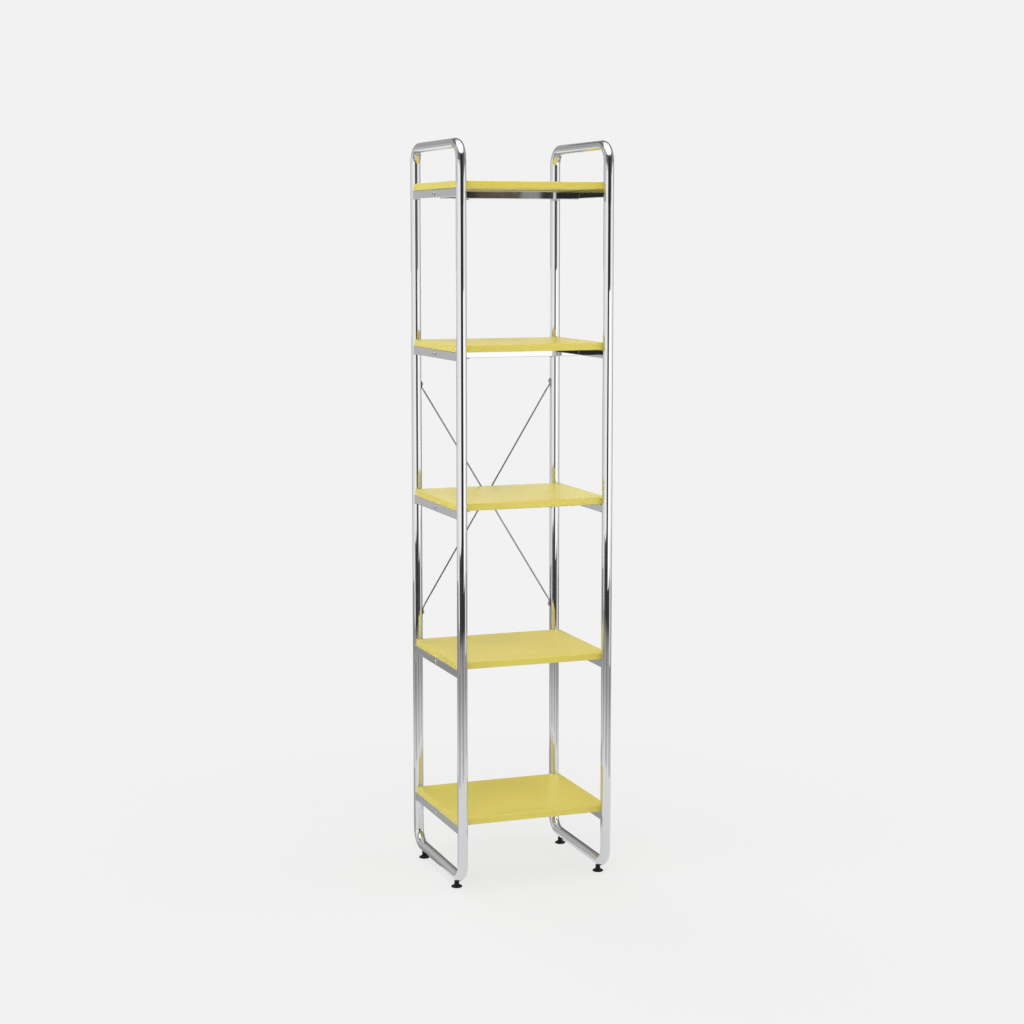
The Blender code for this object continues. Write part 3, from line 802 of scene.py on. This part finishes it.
def bush_bead():
    """Ring of weld on the tube's underside. Beside the lowest line it climbs with the tube."""
    shape = bmesh.new()
    inner, outer = BUSH_RADIUS + MERGE_DISTANCE, BUSH_RADIUS + BEAD_OUT
    middle = (inner + outer) / 2
    spun(
        shape,
        [
            (inner, BEAD_IN),
            (inner, 0),
            (middle - BEAD_OUT / 4, -BEAD_DROP),
            (middle + BEAD_OUT / 4, -BEAD_DROP),
            (outer, 0),
            (outer, BEAD_IN),
            (inner, BEAD_IN),
        ],
    )
    for vert in shape.verts:
        vert.co.z += saddle(vert.co.x)
    return shape


CORNERS = [f"{end}_{side}" for end in ("front", "rear") for side in SIDES]
for corner in CORNERS:
    low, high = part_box(f"foot_bush_{corner}")
    foot_line = Vector(((low.x + high.x) / 2, (low.y + high.y) / 2, low.z))
    shape = foot_bush(low, high)
    bead = bush_bead()
    bead_mesh = bpy.data.meshes.new("bead")
    bead.to_mesh(bead_mesh)
    bead.free()
    shape.from_mesh(bead_mesh)
    bpy.data.meshes.remove(bead_mesh)
    bmesh.ops.translate(shape, vec=foot_line, verts=shape.verts)
    finished(f"stud_bush_{corner}", shape, CHROME, f"foot_bush_{corner}")

# Levelling feet. A threaded zinc plated stud is moulded into a black pad with a thin flange, a
# short cone and a neck. The foot screws out of the bush by up to a centimetre.
THREAD_PITCH = 0.00125
THREAD_DEPTH = 0.00068
THREAD_ROWS = 8
THREAD_FACETS = 32
THREAD_STEEPNESS = 1.35
THREAD_CREST = 0.12
THREAD_RUN_OUT = 0.6
STUD_RADIUS = 0.004
PAD_RIM_HEIGHT = 0.003
PAD_RIM_RADIUS = 0.0009
PAD_CONE_RADIUS = 0.0095
PAD_CONE_BOTTOM = 0.0042
PAD_CONE_TOP = 0.0078
PAD_NECK_RADIUS = 0.006
PAD_NECK_BREAK = 0.0006
PAD_BORE_RADIUS = 0.0043
PAD_FLOOR = 0.0047
PAD_FACETS = 64
QUARTER_STEPS = 5
PLASTIC_COLOUR = (0.004, 0.004, 0.0045)
PLASTIC_WORN = (0.022, 0.022, 0.021)


def moulded_plastic():
    """Black nylon: a faint moulded grain, paler scuffs along the rim, and dust."""
    material, tree, shader, where = new_finish("black plastic")
    scratches = applied(tree, SCRATCHES, where, amount=0.8)
    dust = applied(tree, DUST, where, amount=0.06)
    rub = applied(tree, RUB, where, width=0.0012, amount=0.55)
    cloud = spread(tree, speckle(tree, where, 120.0, 3.0), 0.4, 0.7)
    colour = blended(tree, maths(tree, "MULTIPLY", cloud, 0.15), PLASTIC_COLOUR, PLASTIC_WORN)
    colour = blended(tree, rub, colour, PLASTIC_WORN)
    colour = blended(tree, dust, colour, DUST_COLOUR)
    worn = layered(tree, 0.42, (cloud, 0.12), (rub, 0.15))
    height = layered(tree, speckle(tree, where, 1500.0, 2.0), (scratches, -0.5))
    bump = node(tree, "ShaderNodeBump", {"Height": height, "Strength": 0.9, "Distance": 0.00004})
    feed(tree, shader, Base_Color=colour, Roughness=worn, Normal=bump.outputs["Normal"])
    shader.inputs["Specular IOR Level"].default_value = 0.25
    return material


PLASTIC = moulded_plastic()


def quarter_round(radius, centre_radius, centre_height, start):
    """Points of a quarter circle in a profile, from a start angle on."""
    turns = [start + step / QUARTER_STEPS * math.pi / 2 for step in range(QUARTER_STEPS + 1)]
    return [
        (centre_radius + radius * math.cos(turn), centre_height + radius * math.sin(turn))
        for turn in turns
    ]


def pad(low, high):
    """Moulded pad with a blind bore for its stud. Its underside is flat."""
    outer, top = (high.x - low.x) / 2, high.z - low.z
    shape = bmesh.new()
    rim = PAD_RIM_RADIUS
    profile = [(0, 0)]
    profile += quarter_round(rim, outer - rim, rim, -math.pi / 2)
    profile += quarter_round(rim, outer - rim, PAD_RIM_HEIGHT - rim, 0)
    profile += [
        (PAD_CONE_RADIUS + rim, PAD_RIM_HEIGHT + rim / 4),
        (PAD_CONE_RADIUS, PAD_CONE_BOTTOM),
        (PAD_NECK_RADIUS + rim / 2, PAD_CONE_TOP - rim / 2),
        (PAD_NECK_RADIUS + rim / 8, PAD_CONE_TOP),
        (PAD_NECK_RADIUS, PAD_CONE_TOP + rim),
        (PAD_NECK_RADIUS, top - PAD_NECK_BREAK),
        (PAD_NECK_RADIUS - PAD_NECK_BREAK, top),
        (PAD_BORE_RADIUS, top),
        (PAD_BORE_RADIUS, PAD_FLOOR),
        (0, PAD_FLOOR),
    ]
    spun(shape, profile, PAD_FACETS)
    return shape


def threaded_stud(low, high):
    """A round bar whose skin is cut by one helical thread, which runs out at both ends."""
    length = high.z - low.z
    rows = round(length / THREAD_PITCH * THREAD_ROWS)
    shape = bmesh.new()
    ring = bmesh.ops.create_circle(
        shape, cap_ends=False, segments=THREAD_FACETS, radius=STUD_RADIUS
    )["verts"]
    last = list({edge for vert in ring for edge in vert.link_edges})
    bmesh.ops.contextual_create(shape, geom=last)
    for _ in range(rows):
        last = pulled(shape, last, (0, 0, length / rows))
    bmesh.ops.contextual_create(shape, geom=last)
    for vert in shape.verts:
        turn = math.atan2(vert.co.y, vert.co.x) / (2 * math.pi)
        phase = (vert.co.z / THREAD_PITCH - turn) % 1
        cut = min(1, max(0, THREAD_STEEPNESS * (1 - abs(2 * phase - 1)) - THREAD_CREST))
        ends = min(vert.co.z, length - vert.co.z) / THREAD_PITCH
        cut = cut + (1 - cut) * max(0, THREAD_RUN_OUT - ends)
        vert.co.xy *= 1 - cut * THREAD_DEPTH / STUD_RADIUS
    return shape


for corner in CORNERS:
    low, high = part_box(f"foot_pad_{corner}")
    foot_line = Vector(((low.x + high.x) / 2, (low.y + high.y) / 2, low.z))
    shape = pad(low, high)
    bmesh.ops.translate(shape, vec=foot_line, verts=shape.verts)
    finished(
        f"levelling_pad_{corner}",
        shape,
        PLASTIC,
        f"foot_pad_{corner}",
        f"foot_{corner}",
    )
    low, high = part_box(f"foot_stud_{corner}")
    shape = threaded_stud(low, high)
    foot_line.z = low.z
    bmesh.ops.translate(shape, vec=foot_line, verts=shape.verts)
    finished(
        f"threaded_stud_{corner}",
        shape,
        ZINC,
        f"foot_stud_{corner}",
        f"foot_{corner}",
    )

# Background and floor. Both are pale paint. The floor keeps the object's faint shadow near it and
# fades into the background further out. What falls on surfaces from all round is dimmer.
BACKGROUND = (0.887, 0.887, 0.887)
DIFFUSE_LEVEL = 0.30
FLOOR_COLOUR = (0.84, 0.84, 0.84)
FLOOR_HALF = 30.0
FLOOR_SHARP, FLOOR_FADED = 0.55, 1.5
FLOOR_LEAST_GLOW = 0.80


def seen_rays(tree):
    """1 for what the camera, mirrors and glass see, 0 for light that falls on surfaces."""
    path = tree.nodes.new("ShaderNodeLightPath").outputs
    seen = maths(tree, "MAXIMUM", path["Is Camera Ray"], path["Is Glossy Ray"])
    return maths(tree, "MAXIMUM", seen, path["Is Transmission Ray"])


def pale_world():
    """The background's colour for whatever looks at it, and a dim even light on surfaces."""
    world = bpy.data.worlds.new("pale studio")
    world.use_nodes = True
    tree = world.node_tree
    level = (DIFFUSE_LEVEL, DIFFUSE_LEVEL, DIFFUSE_LEVEL)
    colour = blended(tree, seen_rays(tree), level, BACKGROUND)
    tree.links.new(colour, tree.nodes["Background"].inputs["Color"])
    bpy.context.scene.world = world


def pale_floor():
    """Matt paint near the object, blended into a glow of the background's colour."""
    shape = bmesh.new()
    bmesh.ops.create_grid(shape, x_segments=2, y_segments=2, size=FLOOR_HALF)
    mesh = bpy.data.meshes.new("floor")
    shape.to_mesh(mesh)
    shape.free()
    floor = bpy.data.objects.new("floor", mesh)
    bpy.context.scene.collection.objects.link(floor)
    material, tree, shader, where = new_finish("pale floor")
    shader.inputs["Base Color"].default_value = (*FLOOR_COLOUR, 1.0)
    shader.inputs["Roughness"].default_value = 0.9
    shader.inputs["Specular IOR Level"].default_value = 0.1
    far = node(tree, "ShaderNodeVectorMath", {0: where}, operation="LENGTH").outputs["Value"]
    faded = spread(tree, far, FLOOR_SHARP, FLOOR_FADED, FLOOR_LEAST_GLOW, 1.0)
    glow = node(tree, "ShaderNodeEmission", {"Color": (*BACKGROUND, 1.0), "Strength": 1.0})
    share = maths(tree, "MULTIPLY", faded, seen_rays(tree))
    mixed = node(tree, "ShaderNodeMixShader", {0: share, 1: shader.outputs[0], 2: glow.outputs[0]})
    tree.links.new(mixed.outputs[0], tree.nodes["Material Output"].inputs["Surface"])
    mesh.materials.append(material)


pale_world()
pale_floor()

# Lamps. A soft one hangs overhead. Large ones behind, in front and at both sides fill in, so that
# the shelves' faces come out about as they are painted.


def soft_light(name, place, size, aim, power, mirrored):
    """A large lamp. One that isn't mirrored lights surfaces but leaves no glare in the chrome."""
    light = bpy.data.lights.new(name, "AREA")
    light.shape = "RECTANGLE"
    light.size, light.size_y = size
    light.energy = power
    lamp = bpy.data.objects.new(name, light)
    lamp.location = place
    lamp.rotation_euler = (Vector(aim) - Vector(place)).to_track_quat("-Z", "Y").to_euler()
    lamp.visible_glossy = mirrored
    bpy.context.scene.collection.objects.link(lamp)


# Name, place, size, what it is aimed at, watts, and whether mirrors see it.
LAMPS = (
    ("overhead", (0.0, -0.9, 3.8), (3.0, 3.0), (0.0, -0.7, 0.9), 46.0, True),
    ("rear lamp", (-0.8, 4.5, 5.0), (3.0, 3.0), (0.0, 0.0, 0.9), 112.0, False),
    ("front lamp", (-1.6, -3.6, 2.4), (2.0, 2.0), (0.0, 0.0, 0.9), 40.0, False),
    ("left lamp", (-3.0, -0.4, 1.9), (1.6, 2.6), (0.0, 0.0, 0.8), 31.0, False),
    ("right lamp", (3.0, -0.4, 1.9), (1.6, 2.6), (0.0, 0.0, 0.8), 31.0, False),
)
for lamp in LAMPS:
    soft_light(*lamp)

# Cards. Black, grey and white boards stand and lie around the object, and only mirrors see them.
# They give the chrome the dark and pale lines that a photographer's room gives it.
CARD_STEPS = 48
CARD_LIFT = 0.002
ROUND_CARD_RADIUS = 7.0
BRIGHT_SECTOR = math.radians(-41)
SECTOR_SPACING = math.radians(69)


def card_paint(name):
    """A card's material, its nodes, the glow that it ends in and the place on the card."""
    material = bpy.data.materials.new(name)
    material.use_nodes = True
    tree = material.node_tree
    tree.nodes.remove(tree.nodes["Principled BSDF"])
    glow = tree.nodes.new("ShaderNodeEmission")
    tree.links.new(glow.outputs[0], tree.nodes["Material Output"].inputs["Surface"])
    return material, tree, glow, tree.nodes.new("ShaderNodeTexCoord").outputs["Object"]


def stood(name, shape, material):
    """A card that only mirrors see."""
    mesh = bpy.data.meshes.new(name)
    shape.to_mesh(mesh)
    shape.free()
    mesh.materials.append(material)
    made = bpy.data.objects.new(name, mesh)
    made.visible_camera = False
    made.visible_diffuse = False
    made.visible_shadow = False
    bpy.context.scene.collection.objects.link(made)


def wall_card(name, x_ends, y_ends, z_range, level, tint=(1, 1, 1)):
    """An upright card from one end on the floor plan to the other."""
    shape = bmesh.new()
    foot = [shape.verts.new((x, y, z_range[0])) for x, y in zip(x_ends, y_ends)]
    bmesh.ops.extrude_edge_only(shape, edges=[shape.edges.new(foot)])
    for vert in shape.verts:
        if vert not in foot:
            vert.co.z = z_range[1]
    material, _, glow, _ = card_paint(name)
    glow.inputs["Color"].default_value = (*(level * part for part in tint), 1.0)
    stood(name, shape, material)


def swung(places, half_angle):
    """The surface that an edge between two places makes as it swings around the object."""
    shape = bmesh.new()
    edge = [shape.verts.new(place) for place in places]
    bmesh.ops.spin(
        shape,
        geom=edge + [shape.edges.new(edge)],
        cent=(0, 0, 0),
        axis=(0, 0, 1),
        angle=2 * half_angle,
        steps=CARD_STEPS,
    )
    return shape


def round_card(name, middle, half_angle, z_range, level):
    """An upright card bent around the object, about a direction in degrees from the front."""
    half_angle = math.radians(half_angle)
    start = math.radians(middle) - half_angle
    place = (ROUND_CARD_RADIUS * math.sin(start), -ROUND_CARD_RADIUS * math.cos(start))
    material, _, glow, _ = card_paint(name)
    glow.inputs["Color"].default_value = (level, level, level, 1.0)
    stood(name, swung([(*place, z) for z in z_range], half_angle), material)


def floor_card(name, rings, middle, half_angle, swing=0.0):
    """A flat ring or part of one, about a direction in degrees from the front.

    Its level changes from each ring's radius to the next. A swing makes it rise and fall around it.
    """
    half_angle = math.radians(half_angle)
    start = math.radians(middle) - half_angle
    inner, outer = rings[0][0], rings[-1][0]
    material, tree, glow, where = card_paint(name)
    far = node(tree, "ShaderNodeVectorMath", {0: where}, operation="LENGTH").outputs["Value"]
    ramp = node(tree, "ShaderNodeValToRGB", {"Fac": spread(tree, far, inner, outer)})
    stops = ramp.color_ramp.elements
    for count, (radius, level) in enumerate(rings):
        place = (radius - inner) / (outer - inner)
        stop = stops[0] if not count else stops[-1] if radius == outer else stops.new(place)
        stop.color = (level, level, level, 1.0)
    flat = node(tree, "ShaderNodeSeparateXYZ", {"Vector": where}).outputs
    around = maths(tree, "ARCTAN2", flat["X"], maths(tree, "MULTIPLY", flat["Y"], -1.0))
    turns = maths(tree, "SUBTRACT", around, BRIGHT_SECTOR)
    wave = maths(tree, "COSINE", maths(tree, "MULTIPLY", turns, 2 * math.pi / SECTOR_SPACING))
    tree.links.new(ramp.outputs["Color"], glow.inputs["Color"])
    tree.links.new(maths(tree, "MULTIPLY_ADD", wave, swing, 1.0), glow.inputs["Strength"])
    edge = [(r * math.sin(start), -r * math.cos(start), CARD_LIFT) for r in (inner, outer)]
    stood(name, swung(edge, half_angle), material)


# Name, x of both ends, y of both ends, lowest and highest z, level, and a tint if it isn't grey.
WALL_CARDS = (
    ("dark opening", (-2.8, 2.4), (-5.2, -5.2), (0.0, 4.6), 0.035),
    ("warm edge", (1.71, 1.95), (-5.15, -5.15), (0.6, 3.0), 0.13, (1.0, 0.80, 0.62)),
    ("grey edge", (1.95, 2.05), (-5.15, -5.15), (0.6, 3.0), 0.36),
    ("dim edge", (2.4, 2.7), (-5.2, -5.2), (0.0, 4.6), 0.16),
    ("low panel", (0.21, 1.40), (-1.16, -1.16), (0.55, 1.45), 1.40),
    ("left panel", (-1.95, -3.3), (-3.0, -1.0), (0.35, 1.95), 1.15),
    ("left side", (-3.3, -3.7), (-1.0, 0.6), (0.0, 1.95), 1.05),
    ("right panel", (2.6, 4.0), (-3.4, 0.2), (0.35, 1.95), 1.12),
    ("pale back wall", (-3.0, -0.6), (3.6, 3.6), (-0.2, 2.0), 0.57),
    ("back wall", (-0.6, 1.6), (3.6, 3.6), (-0.2, 2.0), 0.42),
    ("high back wall", (-3.0, 1.6), (3.6, 3.6), (2.0, 3.2), 0.43),
    ("right corner", (3.4, 1.6), (0.6, 3.6), (-0.2, 3.0), 0.28),
    ("bar line", (-1.1, 0.1), (1.5, 1.5), (1.27, 1.48), 1.0),
    ("upper veil", (0.15, 1.2), (1.5, 1.5), (1.06, 1.75), 1.0),
    ("lower veil", (0.15, 1.2), (1.5, 1.5), (0.25, 0.78), 0.15),
)
# Name, direction of the middle and half the angle in degrees, lowest and highest z, level.
ROUND_CARDS = (
    ("dark front", -5, 72, (1.95, 6.4), 0.15),
    ("left gloom", -100, 23, (1.95, 7.0), 0.50),
    ("right gloom", 85, 18, (1.95, 7.0), 0.42),
    ("dark ceiling", 170, 67, (4.5, 10.2), 0.20),
)
# Name, radii with their levels, direction of the middle and half the angle in degrees, swing.
FLOOR_CARDS = (
    ("shade beside", ((0.20, 0.30), (0.40, 0.42)), -150, 55),
    ("rear floor", ((0.40, 0.46), (1.15, 0.43)), 180, 70),
    ("grey floor", ((1.15, 0.74), (1.6, 0.62), (2.2, 0.43), (2.7, 0.36)), 0, 180, 0.28),
    ("rear grey floor", ((2.7, 0.36), (4.6, 0.28)), 180, 100),
    ("dark floor", ((2.7, 0.36), (3.05, 0.30), (3.35, 0.05), (6.0, 0.05)), -15, 60, 0.28),
)
for card in WALL_CARDS:
    wall_card(*card)
for card in ROUND_CARDS:
    round_card(*card)
for card in FLOOR_CARDS:
    floor_card(*card)

# Camera. It stands left of the front at about the height of a standing person's eyes, and looks
# slightly down. The lens is shifted so that its axis meets the picture a little above the middle.
LENS_PIXELS = 2069.06
PHOTO_PIXELS = 1024
SENSOR_WIDTH = 36.0
OPTICAL_ROW = 480.0
CAMERA_PLACE = (-1.76494, -4.79965, 1.57927)
CAMERA_YAW = math.radians(20.24)
CAMERA_PITCH = math.radians(6.65)

lens = bpy.data.cameras.new("camera")
lens.sensor_width = SENSOR_WIDTH
lens.lens = LENS_PIXELS / PHOTO_PIXELS * SENSOR_WIDTH
lens.shift_y = (OPTICAL_ROW - PHOTO_PIXELS / 2) / PHOTO_PIXELS
camera = bpy.data.objects.new("camera", lens)
camera.location = CAMERA_PLACE
camera.rotation_euler = (math.pi / 2 - CAMERA_PITCH, 0, -CAMERA_YAW)
bpy.context.scene.collection.objects.link(camera)
bpy.context.scene.camera = camera
bpy.context.scene.view_settings.view_transform = "Standard"
